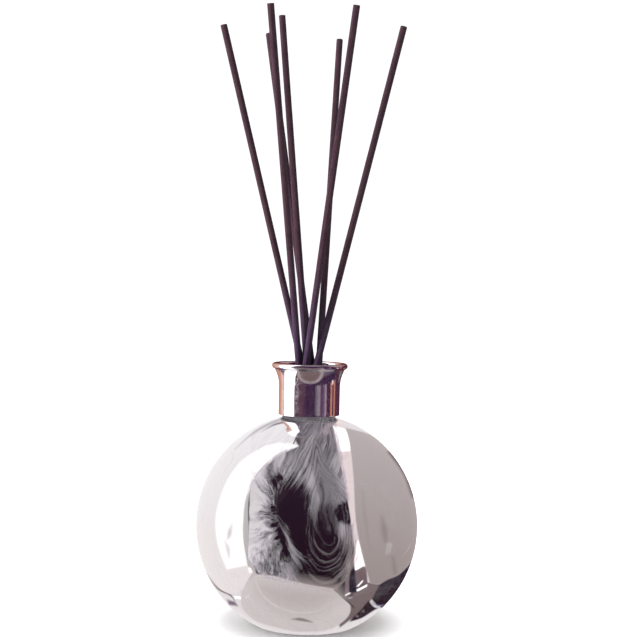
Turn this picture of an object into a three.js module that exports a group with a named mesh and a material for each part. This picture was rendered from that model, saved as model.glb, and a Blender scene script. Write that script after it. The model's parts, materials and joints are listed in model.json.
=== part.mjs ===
// Reed diffuser: a silvered art-glass sphere bottle with a spun metal collar and seven fibre reeds.
// Millimetres, +Z up. The origin is the centre of the flat that the bottle stands on, and -Y is the front.
import * as THREE from "three";

// Driving dimensions
const AROUND = 48; // facets around every turned piece
const GAP = 0.3; // clearance between neighbouring pieces

const BALL_R = 50; // outside of the blown sphere
const BALL_Z = 44; // height of its centre above the base flat
const WALL = 3.2; // glass thickness of the sphere
const FLOOR_Z = 7; // height of the inside floor, on the thick base
const BASE_ROUND = 1; // rounded edge of the base flat
const FLOOR_ROUND = 2; // rounded edge of the inside floor

const BORE_R = 9.2; // clear bore through the neck
const NECK_R = 11.5; // outside of the neck
const NECK_TOP_Z = 111.5;
const SHOULDER_ROUND = 2.2; // outside fillet between neck and sphere
const THROAT_ROUND = 1.5; // rounded inside edge where the bore opens into the sphere

const COLLAR_BOTTOM_Z = 93.7;
const COLLAR_R = 13.8; // straight part of the collar
const SHEET = 0.75; // thickness of the spun metal
const FLARE_START_Z = 106.5;
const FLARE_R = 16; // curve of the outside of the flare
const BEAD_R = 1.35; // rolled edge of the lip
const BEAD_RING_R = 15.75; // circle that the middle of the rolled edge follows
const BEAD_Z = 115.8;

const LINER_TOP_Z = 113; // the liner's shoulder covers the end of the glass neck
const LINER_FOOT = 0.6; // the liner starts this far above the collar's bottom edge

const REED_R = 1.5;
const REED_LENGTH = 270;
const REED_SIDES = 20;
const CUT_EDGE_DROP = 0.4; // how far a leaning reed's square-cut end reaches below its middle

// Where each reed stands on the inside floor, and where it passes through the mouth at MOUTH_Z (x, y).
// No two reeds touch, also while they are drawn out, and a channel at the front of the neck stays free.
const MOUTH_Z = BEAD_Z;
const REEDS = [
  { foot: [23.6, 6.7], mouth: [-3.6, 6.3] },
  { foot: [5.4, 19.8], mouth: [-5.0, 2.0] },
  { foot: [8.5, -3.8], mouth: [-1.4, 3.3] },
  { foot: [17.3, -10.7], mouth: [0.9, 6.7] },
  { foot: [-0.8, -20.7], mouth: [4.1, 4.0] },
  { foot: [-14.9, 10.2], mouth: [-1.9, -0.8] },
  { foot: [-22.7, -4.9], mouth: [2.9, -0.7] },
];

const MATERIALS = {
  glass: { color: 0x8a868a, roughness: 0.06, metalness: 0.9 },
  chrome: { color: 0xcfccd2, roughness: 0.08, metalness: 1.0 },
  liner: { color: 0x26242a, roughness: 0.6, metalness: 0.0 },
  fibre: { color: 0x35243a, roughness: 0.85, metalness: 0.0 },
};

const model = new THREE.Group();

function addMesh(name, geometry, look) {
  const mesh = new THREE.Mesh(geometry, new THREE.MeshStandardMaterial(MATERIALS[look]));
  mesh.name = name;
  model.add(mesh);
  return mesh;
}

const point = (r, z) => new THREE.Vector2(r, z);

// Points on an arc about (r, z), from one angle to another in degrees, counted from +r towards +z.
function arc(r, z, radius, fromDeg, toDeg, steps) {
  const points = [];
  for (let i = 0; i <= steps; i++) {
    const angle = THREE.MathUtils.degToRad(fromDeg + ((toDeg - fromDeg) * i) / steps);
    points.push(point(r + radius * Math.cos(angle), z + radius * Math.sin(angle)));
  }
  return points;
}

// Revolves a profile of (r, z) points, given counter-clockwise, about the Z axis.
function turned(profile) {
  const geometry = new THREE.LatheGeometry(profile, AROUND);
  geometry.rotateX(Math.PI / 2);
  return geometry;
}

function glassBottle() {
  const polar = (radius, height) => THREE.MathUtils.radToDeg(Math.atan2(height, radius));
  const innerR = BALL_R - WALL;

  // Where the rounded edges touch the outer and the inner sphere.
  const baseR = Math.sqrt((BALL_R - BASE_ROUND) ** 2 - (BALL_Z - BASE_ROUND) ** 2);
  const baseDeg = polar(baseR, BASE_ROUND - BALL_Z);
  const shoulderR = NECK_R + SHOULDER_ROUND;
  const shoulderRise = Math.sqrt((BALL_R + SHOULDER_ROUND) ** 2 - shoulderR ** 2);
  const shoulderDeg = polar(shoulderR, shoulderRise);
  const throatR = BORE_R + THROAT_ROUND;
  const throatRise = Math.sqrt((innerR + THROAT_ROUND) ** 2 - throatR ** 2);
  const throatDeg = polar(throatR, throatRise);
  const floorDrop = BALL_Z - FLOOR_Z - FLOOR_ROUND;
  const floorR = Math.sqrt((innerR - FLOOR_ROUND) ** 2 - floorDrop ** 2);
  const floorDeg = polar(floorR, -floorDrop);

  const rimR = (NECK_R - BORE_R) / 2;
  return turned([
    point(0, 0),
    ...arc(baseR, BASE_ROUND, BASE_ROUND, -90, baseDeg, 1),
    ...arc(0, BALL_Z, BALL_R, baseDeg, shoulderDeg, 20).slice(1),
    ...arc(shoulderR, BALL_Z + shoulderRise, SHOULDER_ROUND, shoulderDeg + 180, 180, 3).slice(1),
    ...arc(NECK_R - rimR, NECK_TOP_Z - rimR, rimR, 0, 180, 5),
    ...arc(throatR, BALL_Z + throatRise, THROAT_ROUND, 180, throatDeg + 180, 3),
    ...arc(0, BALL_Z, innerR, throatDeg, floorDeg, 18).slice(1),
    ...arc(floorR, FLOOR_Z + FLOOR_ROUND, FLOOR_ROUND, floorDeg, -90, 2).slice(1),
    point(0, FLOOR_Z),
  ]);
}

// The lip curls out over a rolled edge, and the sheet thickens into it.
function neckCollar() {
  const riseToBead = BEAD_Z - BEAD_R - FLARE_START_Z;
  const flareEndDeg = 180 - THREE.MathUtils.radToDeg(Math.asin(riseToBead / FLARE_R));
  const profile = [
    point(COLLAR_R - SHEET, COLLAR_BOTTOM_Z),
    point(COLLAR_R, COLLAR_BOTTOM_Z),
    ...arc(COLLAR_R + FLARE_R, FLARE_START_Z, FLARE_R, 180, flareEndDeg, 6),
    ...arc(BEAD_RING_R, BEAD_Z, BEAD_R, -60, 180, 12),
    point(COLLAR_R - SHEET, FLARE_START_Z),
  ];
  profile.push(profile[0]);
  return turned(profile);
}

// A moulded sleeve between the glass neck and the collar, with a shoulder over the end of the glass.
function collarLiner() {
  const innerR = NECK_R + GAP;
  const outerR = COLLAR_R - SHEET - GAP;
  const profile = [
    point(innerR, COLLAR_BOTTOM_Z + LINER_FOOT),
    point(outerR, COLLAR_BOTTOM_Z + LINER_FOOT),
    point(outerR, LINER_TOP_Z),
    point(BORE_R + GAP, LINER_TOP_Z),
    point(BORE_R + GAP, NECK_TOP_Z + GAP),
    point(innerR, NECK_TOP_Z + GAP),
  ];
  profile.push(profile[0]);
  return turned(profile);
}

// A straight stick from its foot at the origin up along +Z.
function reedStick() {
  const geometry = new THREE.CylinderGeometry(REED_R, REED_R, REED_LENGTH, REED_SIDES);
  geometry.rotateX(Math.PI / 2);
  geometry.translate(0, 0, REED_LENGTH / 2);
  return geometry;
}

addMesh("glass_bottle", glassBottle(), "glass");
addMesh("neck_collar", neckCollar(), "chrome");
addMesh("collar_liner", collarLiner(), "liner");

const up = new THREE.Vector3(0, 0, 1);
const footZ = FLOOR_Z + GAP + CUT_EDGE_DROP;
REEDS.forEach(({ foot, mouth }, index) => {
  const direction = new THREE.Vector3(mouth[0] - foot[0], mouth[1] - foot[1], MOUTH_Z - footZ).normalize();
  const stick = addMesh(`reed_${index + 1}`, reedStick(), "fibre");
  stick.position.set(foot[0], foot[1], footZ);
  stick.quaternion.setFromUnitVectors(up, direction);
});

export default model;
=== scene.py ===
"""Reed diffuser: silvered, marbled glass sphere, polished collar and seven fibre reeds, on a pale floor."""
import json
import math

import bmesh
import bpy
import numpy as np
from mathutils import Matrix, Vector


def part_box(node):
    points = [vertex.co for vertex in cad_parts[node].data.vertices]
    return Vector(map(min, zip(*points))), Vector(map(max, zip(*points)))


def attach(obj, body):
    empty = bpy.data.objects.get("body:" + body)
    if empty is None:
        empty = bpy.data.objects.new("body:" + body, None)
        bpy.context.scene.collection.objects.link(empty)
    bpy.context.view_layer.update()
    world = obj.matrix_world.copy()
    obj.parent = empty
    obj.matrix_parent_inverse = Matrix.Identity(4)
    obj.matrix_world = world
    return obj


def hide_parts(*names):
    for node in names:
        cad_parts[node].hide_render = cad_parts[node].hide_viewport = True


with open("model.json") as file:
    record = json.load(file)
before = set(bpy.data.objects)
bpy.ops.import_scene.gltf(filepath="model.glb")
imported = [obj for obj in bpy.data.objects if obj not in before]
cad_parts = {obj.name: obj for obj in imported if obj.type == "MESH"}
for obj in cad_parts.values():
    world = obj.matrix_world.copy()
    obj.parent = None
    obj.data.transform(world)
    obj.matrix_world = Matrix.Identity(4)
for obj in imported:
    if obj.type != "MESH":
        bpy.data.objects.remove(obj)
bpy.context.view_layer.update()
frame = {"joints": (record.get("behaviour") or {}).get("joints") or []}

MM = 0.001

# ---------------------------------------------------------------- the frame
ball_low, ball_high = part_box("glass_bottle")
collar_low, collar_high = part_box("neck_collar")
BALL_R = (ball_high.x - ball_low.x) / 2
BALL_RISE = 0.88  # the ball stands on a flat, and its centre is this many radii above it
BALL_CENTRE = Vector((0, 0, ball_low.z + BALL_RISE * BALL_R))
REED_R = 1.5 * MM
REED_LENGTH = 270 * MM


def direction(azimuth, elevation):
    """Unit vector for an azimuth (0 is -Y, the front, and 90 is +X) and an elevation, in degrees."""
    a, e = math.radians(azimuth), math.radians(elevation)
    return Vector((math.sin(a) * math.cos(e), -math.cos(a) * math.cos(e), math.sin(e)))


# ---------------------------------------------------------------- the camera
CAMERA_PLACE = Vector((0, -0.560, 0.1488))
CAMERA_YAW, CAMERA_PITCH, CAMERA_ROLL = -0.04, -1.19, 1.175  # degrees
CAMERA_LENS, CAMERA_SENSOR = 70.1, 36  # millimetres


def make_camera():
    data = bpy.data.cameras.new("camera")
    data.lens = CAMERA_LENS
    data.sensor_width = CAMERA_SENSOR
    data.clip_start, data.clip_end = 0.05, 50
    camera = bpy.data.objects.new("camera", data)
    yaw, pitch, roll = (math.radians(x) for x in (CAMERA_YAW, CAMERA_PITCH, CAMERA_ROLL))
    forward = Vector((math.sin(yaw) * math.cos(pitch), math.cos(yaw) * math.cos(pitch), math.sin(pitch)))
    level_right = Vector((math.cos(yaw), -math.sin(yaw), 0))
    level_up = level_right.cross(forward)
    right = level_right * math.cos(roll) + level_up * math.sin(roll)
    up = level_up * math.cos(roll) - level_right * math.sin(roll)
    camera.location = CAMERA_PLACE
    camera.rotation_mode = "QUATERNION"
    camera.rotation_quaternion = Matrix((right, up, -forward)).transposed().to_quaternion()
    bpy.context.scene.collection.objects.link(camera)
    bpy.context.scene.camera = camera


make_camera()


# ---------------------------------------------------------------- node expressions
class Val:
    """A number, vector or colour in a node tree. Arithmetic on it adds Math nodes."""

    def __init__(self, tree, socket):
        self.tree, self.socket = tree, socket

    def __add__(self, other):
        return calc("ADD", self, other)

    def __radd__(self, other):
        return calc("ADD", other, self)

    def __sub__(self, other):
        return calc("SUBTRACT", self, other)

    def __rsub__(self, other):
        return calc("SUBTRACT", other, self)

    def __mul__(self, other):
        return calc("MULTIPLY", self, other)

    def __rmul__(self, other):
        return calc("MULTIPLY", other, self)

    def __truediv__(self, other):
        return calc("DIVIDE", self, other)


def plug(socket, value):
    if isinstance(value, Val):
        value.tree.links.new(value.socket, socket)
    else:
        socket.default_value = value


def set_inputs(node, values):
    """Sets a node's inputs by name, each to a number or to a Val."""
    for name, value in values.items():
        plug(node.inputs[name], value)


def calc(operation, *values):
    """A Math node. At least one of the values is a Val."""
    tree = next(value.tree for value in values if isinstance(value, Val))
    node = tree.nodes.new("ShaderNodeMath")
    node.operation = operation
    for socket, value in zip(node.inputs, values):
        plug(socket, value)
    return Val(tree, node.outputs[0])


def step(value, low, high):
    """Smoothly from 0 at low to 1 at high."""
    node = value.tree.nodes.new("ShaderNodeMapRange")
    node.interpolation_type = "SMOOTHSTEP"
    set_inputs(node, {"Value": value, "From Min": low, "From Max": high})
    return Val(value.tree, node.outputs["Result"])


def blend(share, low, high):
    """low where share is 0 and high where it is 1."""
    return low + (high - low) * share


def vector(x, y, z):
    node = x.tree.nodes.new("ShaderNodeCombineXYZ")
    set_inputs(node, {"X": x, "Y": y, "Z": z})
    return Val(x.tree, node.outputs[0])


def on_circle(angle, radius, height):
    """A place for a noise that joins up after a full turn."""
    return vector(calc("COSINE", angle) * radius, calc("SINE", angle) * radius, height)


def noise(place, scale, detail=3.0, rough=0.5):
    node = place.tree.nodes.new("ShaderNodeTexNoise")
    set_inputs(node, {"Vector": place, "Scale": scale, "Detail": detail, "Roughness": rough})
    return Val(place.tree, node.outputs["Fac"])


def ramp(value, stops):
    """A colour from a value by (position, (r, g, b)) stops."""
    node = value.tree.nodes.new("ShaderNodeValToRGB")
    plug(node.inputs[0], value)
    elements = node.color_ramp.elements
    while len(elements) < len(stops):
        elements.new(0.5)
    for element, (position, colour) in zip(elements, stops):
        element.position = position
        element.color = (*colour, 1)
    return Val(value.tree, node.outputs[0])


def mix_colours(share, first, second):
    """The first colour where share is 0 and the second where it is 1."""
    node = share.tree.nodes.new("ShaderNodeMix")
    node.data_type = "RGBA"
    factor, colour_a, colour_b, result = node.inputs[0], node.inputs[6], node.inputs[7], node.outputs[2]
    plug(factor, share)
    plug(colour_a, first)
    plug(colour_b, second)
    return Val(share.tree, result)


def new_material(name):
    """A material, its Principled shader, and the object coordinates as a vector and as three numbers."""
    material = bpy.data.materials.new(name)
    material.use_nodes = True
    tree = material.node_tree
    place = Val(tree, tree.nodes.new("ShaderNodeTexCoord").outputs["Object"])
    split = tree.nodes.new("ShaderNodeSeparateXYZ")
    plug(split.inputs[0], place)
    return material, tree.nodes["Principled BSDF"], place, [Val(tree, socket) for socket in split.outputs]


def add_bump(shader, height, strength, distance):
    node = height.tree.nodes.new("ShaderNodeBump")
    set_inputs(node, {"Strength": strength, "Distance": distance, "Height": height})
    plug(shader.inputs["Normal"], Val(height.tree, node.outputs[0]))


# ---------------------------------------------------------------- the marbled glass
# The marbling is laid out on the front of the ball in flat coordinates: a to the right and b up, in ball
# radii from the middle of the front, as it looks from VIEW_RISE above level, BALL_R / NEARNESS away.
VIEW_RISE = 10.6  # degrees
NEARNESS = 0.0877
FRONT_SCALE = 0.996  # brings the ball's outline, seen from there, to 1
NECK = (0.14, 1.03)  # the streaks start here
PINCH = (-0.29, 0.13)  # and are pinched together here
FAN = (-0.12, 0.08)  # the feathers on the left spread from here
DROP = (0.205, 0.06)  # middle of the nested drops on the right
DROP_HALF_WIDTH, DROP_HALF_HEIGHT = 0.27, 0.68

# Soft ovals: middle, half width, half height, lean of the top to the left in degrees, and strength.
BARE_SPOTS = [  # less enamel, so that the silver shows
    (-0.14, 0.18, 0.20, 0.32, 4.0, 1.0),
    (-0.03, -0.06, 0.17, 0.48, 24.0, 1.0),
    (0.14, -0.42, 0.30, 0.30, 0.0, 0.42),
    (0.165, 0.26, 0.07, 0.26, 12.0, 0.35),
    (0.19, 0.04, 0.15, 0.24, 0.0, 0.6),
    (0.38, 0.115, 0.15, 0.125, 0.0, 1.1),
    (-0.26, -0.12, 0.10, 0.30, 20.0, 0.9),
]
MILKY_SPOTS = [  # more enamel
    (-0.26, 0.50, 0.22, 0.24, 0.0, 0.20),
    (0.03, 0.42, 0.06, 0.18, 14.0, 0.20),
    (0.08, 0.20, 0.05, 0.16, 16.0, 0.06),
    (0.33, 0.36, 0.08, 0.34, 10.0, 0.16),
    (0.335, -0.03, 0.035, 0.11, 0.0, 0.26),
    (0.42, -0.22, 0.08, 0.30, 0.0, 0.20),
    (0.38, -0.46, 0.12, 0.18, 0.0, 0.22),
]

# Straight edges of the marbled patch: p, q, then the two values of p * a + q * b between which it sets in.
PATCH_EDGES = [
    (1.0, 0.0, -0.53, -0.51),  # left
    (-1.0, -0.19, -0.44, -0.41),  # right
    (0.19, 1.0, -0.562, -0.545),  # foot
    (1.15, 1.0, -0.935, -0.905),  # lower left
    (-1.59, 1.0, -1.06, -1.03),  # lower right
]
PATCH_MIDDLE, PATCH_RADIUS = (0.05, 0.12), 0.58  # its upper left edge is round


class Front:
    """Places on the ball: a unit vector (dx, dy, dz), and the flat coordinates, with c towards the viewer.

    Slow noises bend a and b, so that the marbling wanders. still_a and still_b have only the finest noise.
    """

    def __init__(self, x, y, z):
        dx, dy, dz = x / BALL_R, y / BALL_R, (z - BALL_CENTRE.z) / BALL_R
        length = calc("SQRT", dx * dx + dy * dy + dz * dz)
        self.dx, self.dy, self.dz = dx / length, dy / length, dz / length
        self.unit = vector(self.dx, self.dy, self.dz)
        self.wander = noise(self.unit, 3.1, 2.0) - 0.5
        self.wander_2 = noise(vector(self.dy, self.dz, self.dx), 2.7, 2.0) - 0.5
        self.fine = noise(self.unit, 17.0, 3.0, 0.6) - 0.5
        rise_sin, rise_cos = math.sin(math.radians(VIEW_RISE)), math.cos(math.radians(VIEW_RISE))
        self.c = self.dz * rise_sin - self.dy * rise_cos
        nearer = calc("DIVIDE", FRONT_SCALE, 1.0 - self.c * NEARNESS)
        self.still_a = self.dx * nearer + self.fine * 0.01
        self.still_b = (self.dz * rise_cos + self.dy * rise_sin) * nearer + self.fine * 0.01
        self.a = self.still_a + self.wander * 0.10 + self.fine * 0.005
        self.b = self.still_b + self.wander_2 * 0.10 + self.fine * 0.005

    def polar(self, middle):
        """Angle about a point of the front, and the natural logarithm of the distance from it."""
        a, b = self.a - middle[0], self.b - middle[1]
        square = calc("MAXIMUM", a * a + b * b, 1e-5)  # keeps the logarithm finite
        return calc("ARCTAN2", b, a), calc("LOGARITHM", square, math.e) * 0.5

    def spot(self, middle_a, middle_b, half_wide, half_high, lean=0.0):
        """1 in the middle of a soft oval, 0 from its edge outwards. A lean turns its top to the left."""
        cos_l, sin_l = math.cos(math.radians(lean)), math.sin(math.radians(lean))
        a, b = self.a - middle_a, self.b - middle_b
        u = (a * cos_l + b * sin_l) / half_wide
        v = (b * cos_l - a * sin_l) / half_high
        return 1.0 - step(u * u + v * v, 0.0, 1.0)


def enamel_cover(front, low_in_drops):
    """How much enamel lies over the silver, before the patterns add to it or cut into it."""
    bare = 0.0
    for *oval, strength in BARE_SPOTS:
        bare = calc("MAXIMUM", bare, front.spot(*oval) * strength)
    cover = 0.34 + step(front.b, 0.45, 0.95) * 0.10 - bare * 0.46 - low_in_drops * 0.17
    for *oval, strength in MILKY_SPOTS:
        cover = cover + front.spot(*oval) * strength
    return cover + step(front.b, 0.92, 0.98) * 0.35


def neck_streaks(front, cover):
    """Enamel in streaks on arcs from the neck to the pinched point, fainter below and right of that point."""
    pinch_angle, pinch_log = front.polar(PINCH)
    neck_angle, neck_log = front.polar(NECK)
    streaks = noise(on_circle(pinch_angle - neck_angle, 4.2, (pinch_log - neck_log) * 0.30), 1.7, 6.0, 0.68)
    downwards = pinch_angle * -1.0
    faint = step(downwards, -0.5, -0.1) * (1.0 - step(downwards, 0.7, 1.0))
    faint = faint * (1.0 - step(pinch_log, -0.9, -0.5))
    return (streaks - 0.5) * blend(faint, 2.1, 0.7) + cover


def nested_drops(front):
    """Drops one in another, pointed above and round below.

    Returns the distance from their middle, 1 at the edge, the height above it, and 1 well below it.
    """
    a = front.a - DROP[0] + step(front.b, 0.0, 0.9) * 0.16
    b = front.b - DROP[1]
    below = step(b * -1.0, 0.0, 0.30)
    wide = calc("ABSOLUTE", a + below * 0.03) / (below * 0.08 + DROP_HALF_WIDTH)
    tall = calc("ABSOLUTE", b) / DROP_HALF_HEIGHT
    round_distance = calc("SQRT", wide * wide + tall * tall)
    pointed_distance = wide * 1.1 + tall
    return blend(step(b, 0.0, 0.45), round_distance, pointed_distance), b, below


def drop_rings(front, distance, height, below, cover):
    """Enamel in rings round the drops, smoother at their upper right, and in smoke in their middle."""
    rings = noise(vector(distance * 10.0 + front.wander * 1.5, front.b * 1.1, front.a * 1.1), 2.0, 3.0, 0.55)
    smooth = step(front.a, 0.02, 0.18) * step(front.b, 0.12, 0.34)
    contrast = 1.45 - smooth * 1.05 - below * 0.5
    in_rings = (rings - 0.5) * contrast + calc("MAXIMUM", cover - below * 0.05, 0.10)
    across = front.a * 15.0 + front.wander * 3.0 + front.b * 2.0
    smoke = noise(vector(across, front.b * 1.8, front.c), 1.0, 5.0, 0.6)
    in_smoke = (smoke - 0.5) * 0.9 + calc("MAXIMUM", cover, 0.06)
    middle = (1.0 - step(distance, 0.36, 0.72)) * step(height, -0.30, -0.02)
    return blend(middle, in_rings, in_smoke)


def left_feathers(front, grains):
    """Where the left part lies, and its enamel: feathers with dark roots, and grains below them."""
    angle, log_distance = front.polar(FAN)
    turn = angle + front.wander * 1.0 + front.fine * 0.22
    feathers = noise(on_circle(turn, 4.2, log_distance * 1.3 + front.wander_2 * 1.2), 1.8, 3.0, 0.6)
    # The part ends at a bent line through the pinched point that runs down to the right.
    height = front.b - PINCH[1]
    upper = step(front.b, 0.0, 0.26)
    line = front.a - PINCH[0] + height * 0.24 * (1.0 - upper) - height * 0.15 * upper
    left = 1.0 - step(line + (feathers - 0.5) * 0.30, -0.05, 0.05)
    left = left * (1.0 - step(front.b, 0.36, 0.62))
    tips = step(line * -1.0, -0.04, 0.24)
    in_feathers = 0.02 + tips * 0.86 + (feathers - 0.5) * 2.1 + (grains - 0.5) * 0.25
    in_grains = (grains - 0.5) * 2.0 + 0.58 - front.spot(-0.26, -0.34, 0.18, 0.26) * 0.30
    return left, blend(front.spot(-0.31, -0.39, 0.26, 0.28, 14.0), in_feathers, in_grains)


def side_streaks(front, grains):
    """Enamel elsewhere: faint streaks from neck to foot, bold ones behind, and more of it round the neck."""
    around = calc("ARCTAN2", front.dy, front.dx) + front.dz * 0.7 + front.wander * 1.6
    streaks = noise(on_circle(around, 3.4, front.dz * 0.9 + front.wander_2 * 0.8), 1.7, 6.0, 0.6)
    behind = 1.0 - step(front.c, -0.75, -0.25)
    enamel = (streaks - 0.5) * (0.5 + behind * 1.7) + (grains - 0.5) * 0.2 * behind + 0.10 + behind * 0.33
    return enamel + step(front.dz, 0.955, 0.972) * 0.45


def marbled_patch(front):
    """1 on the marbled patch of the front and 0 off it."""
    a, b = front.still_a, front.still_b
    patch = step(front.c, 0.0, 0.15)
    for p, q, low, high in PATCH_EDGES:
        patch = patch * step(a * p + b * q, low, high)
    off_a, off_b = a - PATCH_MIDDLE[0], b - PATCH_MIDDLE[1]
    from_middle = calc("SQRT", off_a * off_a + off_b * off_b)
    outside = step(from_middle, PATCH_RADIUS, PATCH_RADIUS + 0.03)
    upper_left = outside * step(a * -1.0, 0.04, 0.09) * step(b, 0.0, 0.1)
    return patch * (1.0 - upper_left * 0.8)


def marbled_glass():
    """A silver mirror with milky enamel over it, marbled at the front, under a clear coat."""
    material, shader, _, (x, y, z) = new_material("marbled_glass")
    front = Front(x, y, z)
    grains = noise(vector(front.dx * 1.6, front.dy, front.dz * 0.6), 22.0, 6.0, 0.72)
    distance, height, below = nested_drops(front)
    in_drops = (1.0 - step(distance, 0.95, 1.25)) * step(front.a, -0.10, 0.06)
    low_in_drops = in_drops * below
    cover = enamel_cover(front, low_in_drops)
    rings = drop_rings(front, distance, height, below, cover)
    left, feathers = left_feathers(front, grains)
    at_front = blend(left, blend(in_drops, neck_streaks(front, cover), rings), feathers)
    patch = marbled_patch(front)
    enamel = step(blend(patch, side_streaks(front, grains), at_front), 0.02, 0.98)

    cool = ramp(enamel, [(0.0, (0.88, 0.87, 0.88)), (0.35, (0.46, 0.42, 0.47)), (1.0, (0.44, 0.415, 0.43))])
    warm = ramp(enamel, [(0.0, (0.86, 0.80, 0.81)), (0.35, (0.42, 0.345, 0.36)), (1.0, (0.41, 0.355, 0.36))])
    smudges = noise(front.unit, 6.0, 5.0, 0.7)
    set_inputs(shader, {
        "Base Color": mix_colours(low_in_drops * patch, cool, warm),
        "Metallic": 1.0 - enamel,
        "Roughness": 0.035 + step(smudges, 0.5, 0.8) * 0.03 + enamel * 0.05,
        "Coat Weight": 1.0,
        "Coat Roughness": 0.02,
        "Coat IOR": 1.5,
    })
    add_bump(shader, noise(front.unit, 2.2, 1.0), 0.25, 0.4 * MM)
    return material


# ---------------------------------------------------------------- the other materials
def polished_metal():
    """Spun metal with fine lines round it, a faint haze and specks."""
    material, shader, place, (x, y, z) = new_material("polished_metal")
    lines = noise(on_circle(calc("ARCTAN2", y, x), 1.0, z * 3000.0), 1.4, 4.0, 0.6)
    haze = noise(place, 140.0, 4.0, 0.65)
    specks = noise(place, 2600.0, 2.0, 0.6)
    set_inputs(shader, {
        "Base Color": ramp(haze, [(0.3, (0.86, 0.84, 0.87)), (0.7, (0.80, 0.77, 0.80))]),
        "Metallic": 1.0,
        "Roughness": 0.030 + lines * 0.05 + step(haze, 0.55, 0.8) * 0.05,
    })
    add_bump(shader, lines * 0.10 + step(specks, 0.58, 0.70), 1.0, 0.022 * MM)
    return material


def moulded_plastic():
    material, shader, place, _ = new_material("moulded_plastic")
    grain = noise(place, 2600.0, 3.0, 0.6)
    tone = noise(place, 160.0, 3.0, 0.5)
    set_inputs(shader, {
        "Base Color": ramp(tone, [(0.3, (0.018, 0.014, 0.020)), (0.7, (0.032, 0.026, 0.034))]),
        "Roughness": 0.42 + grain * 0.25,
    })
    add_bump(shader, grain, 0.25, 0.04 * MM)
    return material


OIL_SOAKED, OIL_DRY = 0.112, 0.165  # the oil reaches this far up a reed, and has faded out here (metres)


def dyed_fibre():
    """Wound fibre stick, soaked with oil at its foot. Its object coordinates run along Z from the foot."""
    material, shader, place, (x, y, z) = new_material("dyed_fibre")
    fibres = noise(vector(x * 1000.0, y * 1000.0, z * 90.0), 2.6, 5.0, 0.7)
    specks = noise(vector(x * 1000.0, y * 1000.0, z * 420.0), 3.4, 3.0, 0.65)
    patches = noise(place, 46.0, 3.0, 0.6)
    tone = fibres * 0.55 + specks * 0.3 + patches * 0.25
    dry = ramp(tone, [
        (0.36, (0.010, 0.004, 0.008)),
        (0.52, (0.020, 0.009, 0.014)),
        (0.64, (0.030, 0.015, 0.021)),
        (0.78, (0.060, 0.036, 0.044)),
    ])
    soaked = ramp(tone, [(0.4, (0.010, 0.004, 0.014)), (0.78, (0.048, 0.029, 0.054))])
    set_inputs(shader, {
        "Base Color": mix_colours(1.0 - step(z, OIL_SOAKED, OIL_DRY), dry, soaked),
        "Roughness": 0.70 + specks * 0.3,
        "Specular IOR Level": 0.12,
        "Sheen Weight": 0.03,
        "Sheen Roughness": 0.5,
    })
    add_bump(shader, fibres * 0.6 + specks * 0.6, 0.6, 0.12 * MM)
    return material


# ---------------------------------------------------------------- meshes
def arc(r, z, radius, from_deg, to_deg, steps):
    points = []
    for i in range(steps + 1):
        angle = math.radians(from_deg + (to_deg - from_deg) * i / steps)
        points.append((r + radius * math.cos(angle), z + radius * math.sin(angle)))
    return points


ON_AXIS = 1e-6  # a point nearer to the axis than this lies on it


def turned(name, profile, around):
    """A body turned about Z from (r, z) points in millimetres, given counter-clockwise.

    The last point joins the first, except in a profile that begins and ends on the axis.
    """
    verts, rings = [], []
    for r, z in profile:
        if r < ON_AXIS:
            rings.append([len(verts)] * around)
            verts.append((0, 0, z * MM))
            continue
        rings.append([len(verts) + i for i in range(around)])
        for i in range(around):
            angle = 2 * math.pi * i / around
            verts.append((r * MM * math.sin(angle), -r * MM * math.cos(angle), z * MM))
    faces = []
    pairs = list(zip(rings, rings[1:]))
    if profile[0][0] > ON_AXIS:
        pairs.append((rings[-1], rings[0]))
    for low, high in pairs:
        for i in range(around):
            j = (i + 1) % around
            corners = [low[i], low[j], high[j], high[i]]
            faces.append(list(dict.fromkeys(corners)))
    mesh = bpy.data.meshes.new(name)
    mesh.from_pydata(verts, [], faces)
    mesh.validate()
    return finish_mesh(name, mesh)


def finish_mesh(name, mesh):
    """An object with smooth faces that all look outwards."""
    bm = bmesh.new()
    bm.from_mesh(mesh)
    bmesh.ops.recalc_face_normals(bm, faces=bm.faces)
    for face in bm.faces:
        face.smooth = True
    bm.to_mesh(mesh)
    bm.free()
    piece = bpy.data.objects.new(name, mesh)
    bpy.context.scene.collection.objects.link(piece)
    return piece


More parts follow.
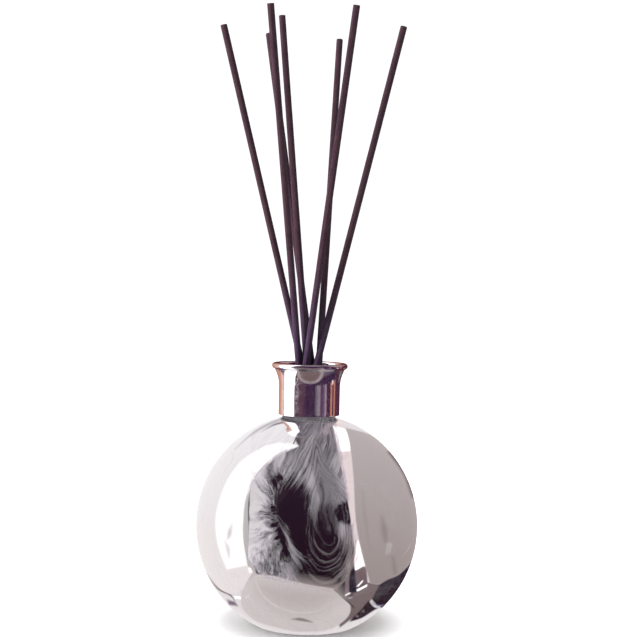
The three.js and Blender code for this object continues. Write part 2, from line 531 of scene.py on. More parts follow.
# Profiles in millimetres, as in the CAD but with finer arcs and rounded edges on the collar and the liner.
# Extra points on the straight stretches keep the shading of the arcs from spreading over them.
def glass_profile():
    ball_r, ball_z, wall, floor_z = 50.0, 44.0, 3.2, 7.0
    base_round, floor_round, bore_r, neck_r, neck_top = 1.0, 2.0, 9.2, 11.5, 111.5
    shoulder, throat = 2.2, 1.5
    inner_r = ball_r - wall
    base_r = math.sqrt((ball_r - base_round) ** 2 - (ball_z - base_round) ** 2)
    base_deg = math.degrees(math.atan2(base_round - ball_z, base_r))
    shoulder_r = neck_r + shoulder
    shoulder_rise = math.sqrt((ball_r + shoulder) ** 2 - shoulder_r ** 2)
    shoulder_deg = math.degrees(math.atan2(shoulder_rise, shoulder_r))
    throat_r = bore_r + throat
    throat_rise = math.sqrt((inner_r + throat) ** 2 - throat_r ** 2)
    throat_deg = math.degrees(math.atan2(throat_rise, throat_r))
    floor_drop = ball_z - floor_z - floor_round
    floor_r = math.sqrt((inner_r - floor_round) ** 2 - floor_drop ** 2)
    floor_deg = math.degrees(math.atan2(-floor_drop, floor_r))
    rim_r = (neck_r - bore_r) / 2
    base_flat = [(0, 0), (8, 0), (16, 0)]
    neck_side = [(neck_r, 97.0), (neck_r, 104.0)]
    bore_side = [(bore_r, 106.0), (bore_r, 99.0)]
    inside_floor = [(14, floor_z), (0, floor_z)]
    return (
        base_flat
        + arc(base_r, base_round, base_round, -90, base_deg, 6)
        + arc(0, ball_z, ball_r, base_deg, shoulder_deg, 150)[1:]
        + arc(shoulder_r, ball_z + shoulder_rise, shoulder, shoulder_deg + 180, 180, 10)[1:]
        + neck_side
        + arc(neck_r - rim_r, neck_top - rim_r, rim_r, 0, 180, 10)
        + bore_side
        + arc(throat_r, ball_z + throat_rise, throat, 180, throat_deg + 180, 6)
        + arc(0, ball_z, inner_r, throat_deg, floor_deg, 48)[1:]
        + arc(floor_r, floor_z + floor_round, floor_round, floor_deg, -90, 6)[1:]
        + inside_floor
    )


def collar_profile():
    flare_r, flare_z, bead_r, bead_ring, bead_z = 16.0, 106.5, 1.35, 15.75, 115.8
    outer_r, sheet, bottom = 13.8, 0.75, 93.7
    end_deg = 180 - math.degrees(math.asin((bead_z - bead_r - flare_z) / flare_r))
    edge = 0.25  # rounding of the bottom edge
    outer_side = [(outer_r, bottom + 2), (outer_r, bottom + 7), (outer_r, flare_z - 1.5)]
    inner_side = [(13.75, 112.5), (13.3, 109.5), (outer_r - sheet, flare_z), (outer_r - sheet, 100.0)]
    return (
        arc(outer_r - sheet + edge, bottom + edge, edge, 180, 270, 4)
        + arc(outer_r - edge, bottom + edge, edge, 270, 360, 4)
        + outer_side
        + arc(outer_r + flare_r, flare_z, flare_r, 180, end_deg, 24)
        + arc(bead_ring, bead_z, bead_r, -60, 180, 28)
        + inner_side
    )


def liner_profile():
    foot, top, inner, outer, mouth, ledge = 94.3, 113.0, 11.8, 12.75, 9.5, 111.8
    edge, half_way = 0.2, 103.0
    return (
        [(inner, foot), (outer - edge, foot), (outer, foot + edge), (outer, half_way)]
        + arc(outer - edge, top - edge, edge, 0, 90, 4)
        + arc(mouth + edge, top - edge, edge, 90, 180, 4)
        + [(mouth, ledge), (inner, ledge), (inner, half_way)]
    )


REED_AROUND, REED_RINGS = 40, 180
GROOVE, FUZZ = 0.012 * MM, 0.008 * MM  # size of the grooves between fibres, and of the roughness on them
SWELL, SWELL_MOST = 0.02 * MM, 0.06 * MM  # how far the fibres stand out on average, and at most
TWIST_RINGS = 30  # the grooves move on by one place every so many rings
CUT_ROUGH = 0.05 * MM  # roughness of the cut ends


def add_cut_end(verts, faces, rng, angles, edge, height, inwards):
    """Closes an end of a stick with slightly rough rings. edge lists its outer points."""
    outer = edge
    for share in (0.93, 0.7, 0.4):
        inner = []
        for angle in angles:
            dip = inwards * abs(rng.normal(0, CUT_ROUGH)) * (share < 0.9)
            r = REED_R * share
            inner.append(len(verts))
            verts.append((r * math.cos(angle), r * math.sin(angle), height + dip))
        for i in range(REED_AROUND):
            j = (i + 1) % REED_AROUND
            faces.append((outer[i], outer[j], inner[j], inner[i]))
        outer = inner
    centre = len(verts)
    verts.append((0, 0, height + inwards * CUT_ROUGH))
    for i in range(REED_AROUND):
        faces.append((outer[i], outer[(i + 1) % REED_AROUND], centre))


def reed_mesh(name, seed):
    """A straight stick of wound fibre from its foot at the origin up along +Z, cut square at both ends."""
    rng = np.random.default_rng(seed)
    angles = np.arange(REED_AROUND) / REED_AROUND * 2 * np.pi
    grooves = np.zeros(REED_AROUND)
    for waves in range(5, 17):
        size, phase = rng.normal(0, 1), rng.uniform(0, 6.28)
        grooves += size * np.cos(waves * angles + phase)
    grooves *= GROOVE
    heights = np.linspace(0, REED_LENGTH, REED_RINGS)
    verts, faces = [], []
    for ring, height in enumerate(heights):
        fuzz = rng.normal(0, FUZZ, REED_AROUND)
        radius = REED_R + SWELL + np.roll(grooves, ring // TWIST_RINGS) + fuzz
        radius = np.minimum(radius, REED_R + SWELL_MOST)
        for angle, r in zip(angles, radius):
            verts.append((r * math.cos(angle), r * math.sin(angle), height))
    for ring in range(REED_RINGS - 1):
        for i in range(REED_AROUND):
            j = (i + 1) % REED_AROUND
            low, high = ring * REED_AROUND, (ring + 1) * REED_AROUND
            faces.append((low + i, low + j, high + j, high + i))
    for ring, inwards in ((0, 1), (REED_RINGS - 1, -1)):
        edge = [ring * REED_AROUND + i for i in range(REED_AROUND)]
        add_cut_end(verts, faces, rng, angles, edge, heights[ring], inwards)
    mesh = bpy.data.meshes.new(name)
    mesh.from_pydata([tuple(map(float, v)) for v in verts], [], faces)
    return finish_mesh(name, mesh)


# ---------------------------------------------------------------- the pieces
BALL_AROUND, COLLAR_AROUND, LINER_AROUND = 288, 256, 128  # faces round each turned piece


def dress(piece, material, body, node):
    piece.data.materials.append(material)
    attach(piece, body)
    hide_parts(node)


ball = turned("silvered_ball", glass_profile(), BALL_AROUND)
collar = turned("spun_collar", collar_profile(), COLLAR_AROUND)
liner = turned("mouth_liner", liner_profile(), LINER_AROUND)
dress(ball, marbled_glass(), "bottle", "glass_bottle")
dress(collar, polished_metal(), "bottle", "neck_collar")
dress(liner, moulded_plastic(), "bottle", "collar_liner")

fibre = dyed_fibre()
for joint in frame["joints"]:
    node = joint["child"]
    axis = Vector(joint["axis"]).normalized()
    low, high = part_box(node)
    stick = reed_mesh(node + "_fibre", int(node[-1]))
    stick.rotation_mode = "QUATERNION"
    stick.rotation_quaternion = Vector((0, 0, 1)).rotation_difference(axis)
    stick.location = (low + high) / 2 - axis * (REED_LENGTH / 2)
    dress(stick, fibre, node, node)


# ---------------------------------------------------------------- the stage
FLOOR_HALF = 20  # metres


def show_only(obj, camera=False, diffuse=False, glossy=False, shadow=False):
    """Shows an object to these kinds of ray and to no others."""
    obj.visible_camera, obj.visible_diffuse, obj.visible_glossy = camera, diffuse, glossy
    obj.visible_shadow, obj.visible_transmission, obj.visible_volume_scatter = shadow, camera, False


def make_floor():
    mesh = bpy.data.meshes.new("floor")
    bm = bmesh.new()
    bmesh.ops.create_grid(bm, x_segments=8, y_segments=8, size=FLOOR_HALF)
    bm.to_mesh(mesh)
    bm.free()
    floor = bpy.data.objects.new("floor", mesh)
    bpy.context.scene.collection.objects.link(floor)
    material, shader, place, _ = new_material("floor_paint")
    colour = ramp(noise(place, 6.0, 3.0), [(0.3, (0.955, 0.955, 0.958)), (0.7, (0.97, 0.97, 0.97))])
    set_inputs(shader, {"Base Color": colour, "Roughness": 0.9, "Specular IOR Level": 0.0})
    mesh.materials.append(material)
    show_only(floor, camera=True, diffuse=True, shadow=True)


DOME_R, COLLAR_DOME_R = 4.0, 6.0  # metres
DOME_RINGS, DOME_COLUMNS = 210, 640
COLLAR_DOME_ROWS, COLLAR_DOME_COLUMNS = 180, 360
CURVE_STEPS = 6  # points from one point of a curved run to the next
PALE = (0.84, 0.79, 0.80)

# The studio as the ball shows it, for reflections only. Each panel has an edge softness, a colour at its top
# and at its bottom, and an outline of curved runs, joined by straight sides, in ball radii to the right and
# up from the middle of the ball. A later panel lies over an earlier one.
PANELS = [
    # pale wall on the left, and behind
    (0.10, (0.98, 0.96, 0.98), (0.60, 0.52, 0.53), [
        [(-0.1, 1.1), (-0.1, -0.5)],
        [(-1.1, -0.6), (-1.1, 0.9)],
    ]),
    (0.012, (0.98, 0.96, 0.98), (0.90, 0.84, 0.83), [
        [(-0.1, 0.2), (-0.50, -0.45), (-0.55, -0.53), (-0.60, -0.61), (-0.69, -0.643), (-0.79, -0.596),
         (-0.92, -0.44)],
        [(-1.1, -0.2), (-1.1, 0.9)],
        [(-1.1, 0.9), (-0.1, 1.1)],
    ]),
    (0.020, (0.50, 0.47, 0.50), (0.62, 0.58, 0.60), [
        [(-0.18, 0.965), (-0.35, 0.90), (-0.52, 0.80), (-0.66, 0.68)],
        [(-0.66, 0.68), (-0.50, 0.835), (-0.34, 0.93), (-0.18, 0.985)],
    ]),
    (0.010, (0.20, 0.16, 0.20), (0.30, 0.26, 0.30), [
        [(-0.16, 0.93), (-0.30, 0.90), (-0.42, 0.84)],
        [(-0.42, 0.84), (-0.30, 0.915), (-0.16, 0.95)],
    ]),
    (0.006, (0.24, 0.18, 0.21), (0.14, 0.10, 0.13), [
        [(-0.87, -0.525), (-0.79, -0.598), (-0.69, -0.646)],
        [(-0.63, -0.75), (-0.70, -0.658), (-0.80, -0.608), (-0.87, -0.525)],
    ]),
    (0.020, (0.24, 0.18, 0.24), (0.20, 0.14, 0.20), [
        [(-0.66, -0.71), (-0.63, -0.75)],
        [(-0.71, -0.74), (-0.73, -0.69)],
    ]),
    (0.006, (2.0, 2.0, 2.0), (2.0, 2.0, 2.0), [
        [(-0.600, -0.665), (-0.600, -0.685)],
        [(-0.655, -0.677), (-0.66, -0.660)],
    ]),
    # soft box
    (0.020, (1.35, 1.35, 1.35), (1.25, 1.23, 1.22), [
        [(-0.07, 0.71), (-0.22, 0.74), (-0.40, 0.70), (-0.61, 0.56), (-0.75, 0.35), (-0.83, 0.07),
         (-0.81, -0.20), (-0.73, -0.42)],
        [(-0.54, -0.38), (-0.58, -0.1), (-0.56, 0.2), (-0.49, 0.42), (-0.30, 0.62), (-0.07, 0.71)],
    ]),
    # faint dark marks in it
    (0.035, (0.80, 0.74, 0.75), (0.62, 0.56, 0.58), [
        [(-0.685, 0.00), (-0.72, -0.06), (-0.725, -0.14)],
        [(-0.725, -0.14), (-0.69, -0.09), (-0.685, 0.00)],
    ]),
    (0.035, (0.80, 0.74, 0.75), (0.66, 0.60, 0.61), [
        [(-0.75, -0.15), (-0.735, -0.23), (-0.71, -0.31)],
        [(-0.71, -0.31), (-0.71, -0.22), (-0.75, -0.15)],
    ]),
    # its lower edge, dimmer
    (0.010, (0.94, 0.88, 0.87), (0.88, 0.82, 0.81), [
        [(-0.73, -0.42), (-0.54, -0.38), (-0.47, -0.40)],
        [(-0.47, -0.40), (-0.52, -0.46), (-0.62, -0.49), (-0.70, -0.48)],
    ]),
    # grey frame of the soft box
    (0.010, (0.62, 0.60, 0.60), (0.52, 0.48, 0.47), [
        [(-0.49, 0.36), (-0.56, 0.2), (-0.58, -0.1), (-0.54, -0.38)],
        [(-0.46, -0.46), (-0.50, -0.1), (-0.49, 0.36)],
    ]),
    (0.008, (1.8, 1.7, 1.7), (1.4, 1.3, 1.3), [
        [(-0.512, -0.40), (-0.500, -0.445)],
        [(-0.528, -0.445), (-0.532, -0.40)],
    ]),
    # dark room
    (0.008, (0.032, 0.015, 0.030), (0.014, 0.006, 0.012), [
        [(-0.07, 0.71), (-0.29, 0.60), (-0.46, 0.41), (-0.53, 0.20), (-0.52, -0.19), (-0.46, -0.46)],
        [(-0.46, -0.46), (-0.28, -0.48), (-0.06, -0.54), (0.24, -0.59)],
        [(0.24, -0.59), (0.36, -0.50), (0.43, -0.36), (0.44, -0.25)],
        [(0.44, -0.25), (0.40, 0.07), (0.33, 0.47), (0.25, 0.85), (0.22, 0.99)],
        [(0.22, 1.1), (-0.11, 1.1)],
        [(-0.11, 0.98), (-0.06, 0.85), (-0.10, 0.77), (-0.07, 0.71)],
    ]),
    # light strip on the right, white at its ends
    (0.010, (0.92, 0.78, 0.78), (0.84, 0.72, 0.72), [
        [(0.22, 1.1), (0.25, 0.85), (0.33, 0.47), (0.40, 0.07), (0.44, -0.25)],
        [(0.43, -0.42), (0.58, -0.54)],
        [(0.58, -0.54), (0.50, -0.24), (0.45, 0.04), (0.42, 0.55), (0.39, 0.77), (0.35, 0.88)],
    ]),
    (0.010, (1.7, 1.7, 1.7), (1.6, 1.55, 1.55), [
        [(0.30, 0.66), (0.40, 0.67)],
        [(0.40, 0.67), (0.39, 0.78), (0.35, 0.87)],
        [(0.35, 0.87), (0.24, 0.90)],
    ]),
    (0.010, (1.7, 1.7, 1.7), (1.6, 1.55, 1.55), [
        [(0.45, -0.20), (0.437, -0.34), (0.447, -0.425)],
        [(0.534, -0.39), (0.47, -0.15)],
    ]),
    # taupe panel
    (0.010, (0.54, 0.48, 0.48), (0.36, 0.30, 0.29), [
        [(0.36, 0.88), (0.40, 0.70), (0.43, 0.40), (0.45, 0.05), (0.49, -0.20), (0.58, -0.54)],
        [(0.58, -0.54), (0.66, -0.55), (0.80, -0.50), (0.93, -0.38)],
        [(1.2, -0.3), (1.2, 0.6)],
        [(1.2, 0.6), (0.85, 0.62), (0.62, 0.80), (0.36, 0.88)],
    ]),
    # marks on it
    (0.010, (0.50, 0.46, 0.44), (0.46, 0.41, 0.40), [
        [(0.735, -0.165), (0.785, -0.18)],
        [(0.765, -0.265), (0.715, -0.29)],
    ]),
    (0.006, (0.55, 0.52, 0.50), (0.55, 0.52, 0.50), [
        [(0.86, -0.30), (0.925, -0.245), (0.955, -0.17)],
        [(0.955, -0.17), (0.915, -0.25), (0.86, -0.30)],
    ]),
    (0.005, (0.75, 0.48, 0.40), (0.75, 0.48, 0.40), [[(0.846, 0.205), (0.818, 0.285)]]),
    (0.040, (0.40, 0.34, 0.33), (0.36, 0.30, 0.29), [
        [(0.51, 0.30), (0.53, 0.05), (0.575, -0.22)],
        [(0.575, -0.22), (0.545, 0.05), (0.51, 0.30)],
    ]),
    (0.060, (0.34, 0.27, 0.27), (0.27, 0.21, 0.21), [
        [(0.685, 0.07), (0.69, -0.05), (0.725, -0.16)],
        [(0.725, -0.16), (0.725, -0.04), (0.685, 0.07)],
    ]),
    (0.05, (0.30, 0.24, 0.24), (0.26, 0.20, 0.20), [
        [(0.80, -0.30), (0.82, -0.45)],
        [(0.80, -0.45), (0.78, -0.30)],
    ]),
    # shadow along the panel's far edge
    (0.03, (0.16, 0.11, 0.13), (0.24, 0.19, 0.19), [
        [(0.74, 0.66), (0.88, 0.46), (0.96, 0.24)],
        [(1.03, 0.24), (0.92, 0.50), (0.78, 0.68)],
    ]),
    # furniture and floor in the lower right
    (0.012, (0.22, 0.15, 0.16), (0.10, 0.065, 0.08), [
        [(0.42, -0.36), (0.447, -0.425), (0.534, -0.39), (0.558, -0.53)],
        [(0.66, -0.60), (0.30, -0.70)],
        [(0.30, -0.70), (0.24, -0.59), (0.36, -0.50), (0.42, -0.36)],
    ]),
    (0.010, (0.030, 0.016, 0.034), (0.022, 0.009, 0.016), [
        [(0.556, -0.535), (0.655, -0.553), (0.733, -0.514), (0.84, -0.465), (0.95, -0.36)],
        [(1.05, -0.40), (0.80, -0.78), (0.66, -0.75), (0.597, -0.690)],
    ]),
    (0.030, (0.080, 0.060, 0.075), (0.040, 0.032, 0.036), [
        [(0.69, -0.575), (0.65, -0.70)],
        [(0.65, -0.70), (0.61, -0.69), (0.66, -0.575)],
    ]),
    (0.012, (0.21, 0.155, 0.16), (0.17, 0.125, 0.125), [
        [(0.44, -0.62), (0.50, -0.60), (0.558, -0.545), (0.66, -0.563)],
        [(0.66, -0.563), (0.597, -0.686), (0.519, -0.77), (0.42, -0.86), (0.30, -0.95)],
        [(0.30, -0.95), (0.30, -0.66), (0.40, -0.68), (0.44, -0.62)],
    ]),
    (0.010, (0.030, 0.016, 0.024), (0.034, 0.018, 0.028), [
        [(0.566, -0.70), (0.62, -0.76), (0.66, -0.765)],
        [(0.66, -0.765), (0.60, -0.80), (0.504, -0.860), (0.395, -0.895)],
        [(0.395, -0.895), (0.416, -0.860), (0.494, -0.785), (0.566, -0.70)],
    ]),
    (0.008, (0.24, 0.17, 0.18), (0.24, 0.17, 0.18), [
        [(0.530, -0.800), (0.524, -0.812)],
        [(0.505, -0.80), (0.515, -0.785)],
    ]),
    (0.008, (0.24, 0.17, 0.18), (0.24, 0.17, 0.18), [
        [(0.478, -0.845), (0.470, -0.856)],
        [(0.448, -0.845), (0.455, -0.83)],
    ]),
    (0.006, (0.30, 0.26, 0.42), (0.30, 0.26, 0.42), [
        [(0.597, -0.712), (0.655, -0.742), (0.72, -0.735)],
        [(0.72, -0.735), (0.655, -0.754), (0.597, -0.722)],
    ]),
    (0.010, (0.22, 0.17, 0.18), (0.22, 0.16, 0.18), [
        [(0.392, -0.45), (0.392, -0.634)],
        [(0.356, -0.65), (0.356, -0.47)],
    ]),
    (0.008, (0.022, 0.010, 0.020), (0.014, 0.007, 0.022), [
        [(0.390, -0.50), (0.392, -0.625)],
        [(0.461, -0.625), (0.447, -0.50), (0.437, -0.38), (0.422, -0.33)],
    ]),
    (0.010, (0.034, 0.018, 0.028), (0.034, 0.018, 0.028), [
        [(0.353, -0.520), (0.353, -0.67)],
        [(0.288, -0.62), (0.288, -0.575)],
    ]),
    (0.006, (1.6, 1.5, 1.5), (1.6, 1.5, 1.5), [
        [(0.514, -0.511), (0.514, -0.525)],
        [(0.470, -0.572), (0.457, -0.569)],
    ]),
    (0.006, (2.2, 2.1, 2.1), (2.2, 2.1, 2.1), [
        [(0.556, -0.550), (0.550, -0.570)],
        [(0.462, -0.616), (0.457, -0.600)],
    ]),
    (0.006, (1.3, 1.2, 1.2), (1.3, 1.2, 1.2), [
        [(0.397, -0.624), (0.400, -0.636)],
        [(0.355, -0.660), (0.353, -0.645)],
    ]),
    # table top, darker towards the right
    (0.010, (0.72, 0.67, 0.655), (0.66, 0.61, 0.595), [
        [(-0.46, -0.46), (-0.28, -0.48), (-0.06, -0.54), (0.24, -0.59)],
        [(0.40, -0.735), (0.398, -0.81), (0.338, -0.889), (0.20, -0.965), (-0.05, -0.985), (-0.24, -0.955),
         (-0.456, -0.892), (-0.56, -0.809), (-0.60, -0.73), (-0.59, -0.61), (-0.51, -0.507), (-0.46, -0.46)],
    ]),
    (0.006, (0.02, 0.015, 0.02), (0.02, 0.015, 0.02), [
        [(0.436, -0.758), (0.434, -0.770)],
        [(0.245, -0.600), (0.25, -0.590)],
    ]),
    (0.20, (0.56, 0.505, 0.495), (0.53, 0.475, 0.46), [
        [(-0.44, -0.53), (-0.06, -0.54), (0.24, -0.59)],
        [(0.31, -0.66), (0.10, -0.79), (-0.11, -0.81), (-0.31, -0.74), (-0.44, -0.62), (-0.44, -0.53)],
    ]),
    (0.006, (0.70, 0.66, 0.64), (0.70, 0.66, 0.64), [
        [(-0.46, -0.47), (-0.455, -0.54), (-0.404, -0.637), (-0.30, -0.73), (-0.11, -0.80), (0.10, -0.79),
         (0.30, -0.67)],
        [(0.30, -0.67), (0.10, -0.80), (-0.11, -0.812), (-0.31, -0.742), (-0.415, -0.645), (-0.468, -0.54),
         (-0.46, -0.47)],
    ]),
    (0.005, (0.95, 0.90, 0.88), (0.95, 0.90, 0.88), [
        [(-0.498, -0.630), (-0.560, -0.680)],
        [(-0.560, -0.680), (-0.565, -0.674)],
    ]),
    (0.02, (0.20, 0.17, 0.16), (0.26, 0.23, 0.22), [
        [(-0.14, -0.87), (-0.05, -0.86), (0.06, -0.90), (-0.04, -0.89), (-0.14, -0.87)],
    ]),
]


def smooth_run(run):
    """Points on a curve through the run's points."""
    if len(run) < 3:
        return list(run)
    p = np.array([run[0]] + run + [run[-1]], float)
    t = np.arange(CURVE_STEPS)[:, None] / CURVE_STEPS
    points = []
    for a, b, c, d in zip(p, p[1:], p[2:], p[3:]):
        curve = 2 * b + (c - a) * t + (2 * a - 5 * b + 4 * c - d) * t ** 2
        curve = curve + (3 * b - a - 3 * c + d) * t ** 3
        points += list(0.5 * curve)
    return [tuple(point) for point in points] + [run[-1]]


TINY = 1e-12  # keeps a side without length from being divided by


def inside(x, y, outline):
    """Signed distance to a closed outline, positive inside."""
    nearest = np.full(x.shape, np.inf)
    crossings = np.zeros(x.shape, int)
    for (x0, y0), (x1, y1) in zip(outline, outline[1:] + outline[:1]):
        ex, ey = x1 - x0, y1 - y0
        t = np.clip(((x - x0) * ex + (y - y0) * ey) / max(ex * ex + ey * ey, TINY), 0, 1)
        nearest = np.minimum(nearest, np.hypot(x - x0 - t * ex, y - y0 - t * ey))
        if y0 != y1:
            crossings += ((y0 > y) != (y1 > y)) & (x < x0 + (y - y0) / (y1 - y0) * ex)
    return np.where(crossings % 2 == 1, nearest, -nearest)


def studio_light(x, y, base, panels):
    """Colours at the points (x, y): the base, with the panels laid over it."""
    colours = np.tile(np.array(base), (len(x), 1))
    for soft, top, bottom, runs in panels:
        outline = [point for run in runs for point in smooth_run(run)]
        high, low = max(p[1] for p in outline), min(p[1] for p in outline)
        height = np.clip((y - low) / (high - low), 0, 1)[:, None]
        own = np.array(bottom) * (1 - height) + np.array(top) * height
        share = np.clip(inside(x, y, outline) / soft + 0.5, 0, 1)[:, None]
        colours = colours * (1 - share) + own * share
    return colours


def make_dome():
    """A shell round the object for reflections, with its points where the camera sees them in the ball."""
    turn = bpy.context.scene.camera.rotation_quaternion.to_matrix()
    right, up, back = (np.array(turn.col[i]) for i in range(3))
    eye, centre = np.array(CAMERA_PLACE), np.array(BALL_CENTRE)

    # Points of the ball that the camera sees, in rings round the one nearest to it.
    to_eye = (eye - centre) / np.linalg.norm(eye - centre)
    across = np.cross(up, to_eye)
    across /= np.linalg.norm(across)
    upward = np.cross(to_eye, across)
    edge = math.acos(BALL_R / np.linalg.norm(eye - centre))
    ring_angle = np.linspace(0, edge, DOME_RINGS + 1)[1:, None]
    column_angle = np.arange(DOME_COLUMNS)[None, :] / DOME_COLUMNS * 2 * np.pi
    parts = (np.sin(ring_angle) * np.cos(column_angle), np.sin(ring_angle) * np.sin(column_angle),
             np.cos(ring_angle) + 0 * column_angle)
    normal = sum(part[..., None] * axis for part, axis in zip(parts, (across, upward, to_eye))).reshape(-1, 3)
    normal = np.vstack([to_eye, normal])
    touch = centre + normal * BALL_R

    # What each of them mirrors.
    look = touch - eye
    look_dir = look / np.linalg.norm(look, axis=1)[:, None]
    bounce = look_dir - 2 * np.sum(look_dir * normal, axis=1)[:, None] * normal
    start = touch - centre
    half_b = np.sum(start * bounce, axis=1)
    far = -half_b + np.sqrt(half_b ** 2 + DOME_R ** 2 - BALL_R ** 2)
    verts = touch + bounce * far[:, None]

    # Where the camera sees them, in ball radii from the middle of the ball.
    depth = look @ -back
    middle = (centre - eye) / ((centre - eye) @ -back)
    outline_r = BALL_R / math.sqrt((eye - centre) @ (eye - centre) - BALL_R ** 2)
    x = ((look @ right) / depth - middle @ right) / outline_r
    y = ((look @ up) / depth - middle @ up) / outline_r
    colours = studio_light(x, y, PALE, PANELS)

    # One more point behind the ball closes the shell.
    verts = np.vstack([verts, centre - to_eye * DOME_R])
    colours = np.vstack([colours, PALE])
    last = 1 + (DOME_RINGS - 1) * DOME_COLUMNS
    faces = []
    for i in range(DOME_COLUMNS):
        j = (i + 1) % DOME_COLUMNS
        faces.append((0, 1 + i, 1 + j))
        faces.append((last + j, last + i, len(verts) - 1))
        for ring in range(DOME_RINGS - 1):
            low, high = 1 + ring * DOME_COLUMNS, 1 + (ring + 1) * DOME_COLUMNS
            faces.append((low + i, high + i, high + j, low + j))
    return glowing_shell("reflection_dome", verts, faces, colours, see_through=True)


# The same for the collar alone, as upright and level bands: softness, colour, azimuths, elevations (degrees).
COLLAR_DARK = (0.048, 0.019, 0.057)
COLLAR_BANDS = [
    (4.0, (0.084, 0.030, 0.060), (112, 150), (-40, 16)),
    (4.0, (0.15, 0.040, 0.048), (150, 182), (-40, 30)),
    (8.0, (0.16, 0.11, 0.16), (-182, -106), (-91, -30)),
    (3.0, (0.15, 0.07, 0.06), (-182, -158), (-24, 30)),
    (6.0, (0.70, 0.34, 0.24), (-160, -124), (-26, 60)),
    (4.0, (0.90, 0.66, 0.58), (-129, -113), (-26, 60)),
    (2.0, (0.30, 0.23, 0.30), (-114, -106), (-30, 20)),
    (6.0, (0.110, 0.048, 0.076), (-62, -18), (-91, 14)),
    (3.0, (0.080, 0.036, 0.088), (-16, -12), (-20, 14)),
    (3.0, (0.066, 0.028, 0.078), (2, 6), (-20, 14)),
    (4.0, (0.16, 0.14, 0.17), (22, 33), (-12, 14)),
    (6.0, (0.33, 0.26, 0.31), (30, 43), (-14, 14)),
    (3.0, (0.10, 0.055, 0.11), (43, 52), (-14, 14)),
    (3.0, (0.17, 0.090, 0.17), (52, 60), (-15, 14)),
    (4.0, (0.42, 0.30, 0.37), (60, 68), (-15, 14)),
    (4.0, (0.66, 0.27, 0.18), (87, 96), (-17, 14)),
    (4.0, (0.62, 0.25, 0.17), (104, 113), (-18, 14)),
    (3.0, (1.3, 1.3, 1.3), (94, 101), (-21, -13)),
    (5.0, (0.30, 0.36, 0.32), (137, 147), (-24, -11)),
    (16.0, (0.20, 0.15, 0.21), (8, 110), (-91, -42)),
    (6.0, (0.42, 0.37, 0.50), (-45, 60), (-91, -58)),
    # above the lip
    (5.0, (0.58, 0.46, 0.47), (-80, 90), (66, 91)),
    (6.0, (0.46, 0.34, 0.35), (84, 150), (20, 91)),
    (2.5, (2.2, 2.2, 2.2), (-109, -59), (-62, 75)),
]


def band_outline(azimuths, elevations):
    (a0, a1), (e0, e1) = azimuths, elevations
    return [[(a0, e0), (a1, e0)], [(a1, e1), (a0, e1)]]


COLLAR_PANELS = [
    (soft, colour, colour, band_outline(azimuths, elevations))
    for soft, colour, azimuths, elevations in COLLAR_BANDS
] + [
    # a round table under the lip, with a light edge
    (4.0, (0.42, 0.36, 0.37), (0.40, 0.32, 0.33), [
        [(-62, -58), (-53, -42), (-41, -31), (-21, -22.5), (4, -19.5), (28, -23), (46, -32), (58, -44),
         (64, -58)],
    ]),
    (6.0, (0.19, 0.125, 0.12), (0.22, 0.15, 0.15), [
        [(-48, -60), (-40, -44), (-30, -36), (-14, -29.5), (4, -27.5), (22, -30), (36, -38), (46, -48),
         (50, -60)],
    ]),
]


def make_collar_dome():
    """A shell that only the collar reflects, by azimuth and elevation."""
    columns, rows = COLLAR_DOME_COLUMNS, COLLAR_DOME_ROWS
    azimuth, elevation = np.meshgrid(np.linspace(-180, 180, columns + 1), np.linspace(-90, 90, rows + 1))
    azimuth, elevation = azimuth.ravel(), elevation.ravel()
    a, e = np.radians(azimuth), np.radians(elevation)
    middle = np.array((collar_low + collar_high) / 2)
    verts = middle + np.stack([np.sin(a) * np.cos(e), -np.cos(a) * np.cos(e), np.sin(e)], 1) * COLLAR_DOME_R
    colours = studio_light(azimuth, elevation, COLLAR_DARK, COLLAR_PANELS)
    wide = columns + 1
    faces = [(row * wide + i, row * wide + i + 1, (row + 1) * wide + i + 1, (row + 1) * wide + i)
             for row in range(rows) for i in range(columns)]
    return glowing_shell("collar_reflection_dome", verts, faces, colours, see_through=False)


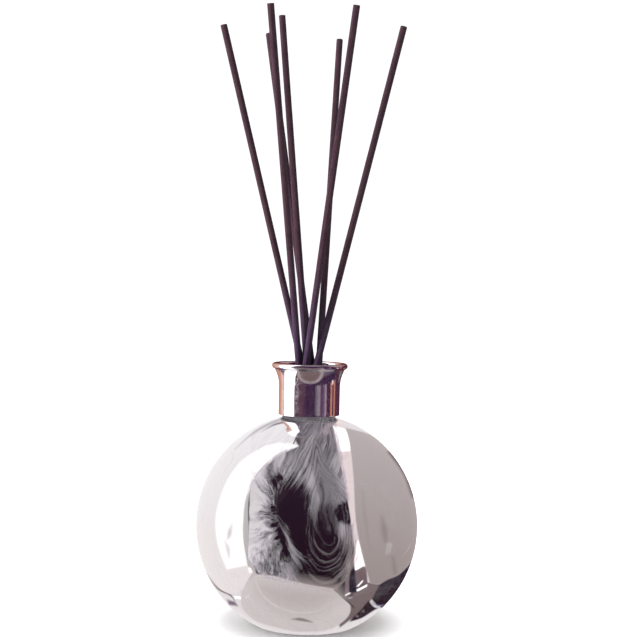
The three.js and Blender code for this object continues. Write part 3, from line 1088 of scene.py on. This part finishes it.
def glowing_shell(name, verts, faces, colours, see_through):
    """A shell for reflections only that gives off the light of its points' colours.

    A reflection also passes on through a see_through shell, to one outside it.
    """
    mesh = bpy.data.meshes.new(name)
    mesh.from_pydata(verts.tolist(), [], faces)
    attribute = mesh.attributes.new("light", "FLOAT_COLOR", "POINT")
    with_alpha = np.hstack([colours, np.ones((len(colours), 1))])
    attribute.data.foreach_set("color", with_alpha.astype(np.float32).ravel())
    shell = bpy.data.objects.new(name, mesh)
    bpy.context.scene.collection.objects.link(shell)
    material = bpy.data.materials.new(name + "_light")
    material.use_nodes = True
    tree = material.node_tree
    tree.nodes.remove(tree.nodes["Principled BSDF"])
    read = tree.nodes.new("ShaderNodeAttribute")
    read.attribute_name = "light"
    glow = tree.nodes.new("ShaderNodeEmission")
    tree.links.new(read.outputs["Color"], glow.inputs["Color"])
    surface = glow.outputs[0]
    if see_through:
        both = tree.nodes.new("ShaderNodeAddShader")
        tree.links.new(surface, both.inputs[0])
        tree.links.new(tree.nodes.new("ShaderNodeBsdfTransparent").outputs[0], both.inputs[1])
        surface = both.outputs[0]
    tree.links.new(surface, tree.nodes["Material Output"].inputs["Surface"])
    mesh.materials.append(material)
    show_only(shell, glossy=True)
    return shell


def light_only(source, name, objects):
    """Lets a shell or a light reach these objects only."""
    receivers = bpy.data.collections.new(name)
    for obj in objects:
        receivers.objects.link(obj)
    source.light_linking.receiver_collection = receivers


def area_light(name, azimuth, elevation, distance, size, power, colour):
    """A rectangle of light that aims at the middle of the bottle and isn't seen itself.

    Its place is given in degrees and metres, its size in metres and its power in watts.
    """
    data = bpy.data.lights.new(name, "AREA")
    data.shape = "RECTANGLE"
    data.size, data.size_y = size
    data.energy, data.color = power, colour
    light = bpy.data.objects.new(name, data)
    aim = Vector((0, 0, (ball_low.z + collar_high.z) / 2))
    towards = direction(azimuth, elevation)
    light.location = aim + towards * distance
    light.rotation_mode = "QUATERNION"
    light.rotation_quaternion = towards.to_track_quat("Z", "Y")
    light.visible_camera = light.visible_glossy = False
    bpy.context.scene.collection.objects.link(light)
    return light


def make_world():
    world = bpy.data.worlds.new("studio")
    bpy.context.scene.world = world
    world.use_nodes = True
    set_inputs(world.node_tree.nodes["Background"], {"Color": (1.0, 1.0, 1.0, 1), "Strength": 1.08})


make_floor()
meshes = [obj for obj in bpy.context.scene.objects if obj.type == "MESH"]
light_only(make_collar_dome(), "collar_only", [collar])
light_only(make_dome(), "all_but_collar", [obj for obj in meshes if obj != collar])
make_world()
floor_light = area_light("floor_light", 0, 85, 2.0, (2.0, 2.0), 45, (1.0, 1.0, 1.0))
light_only(floor_light, "floor_only", [obj for obj in meshes if obj.name == "floor"])
area_light("window", -75, 25, 1.6, (1.0, 1.4), 12, (1.0, 0.98, 0.97))
reed_light = area_light("window_on_reeds", -72, 20, 1.6, (0.5, 1.4), 110, (1.0, 0.97, 0.96))
light_only(reed_light, "reeds_only", [obj for obj in meshes if obj.name.endswith("_fibre")])
area_light("fill", 70, 20, 1.8, (0.6, 1.2), 5, (1.0, 0.96, 0.95))
bpy.context.scene.view_settings.view_transform = "Standard"
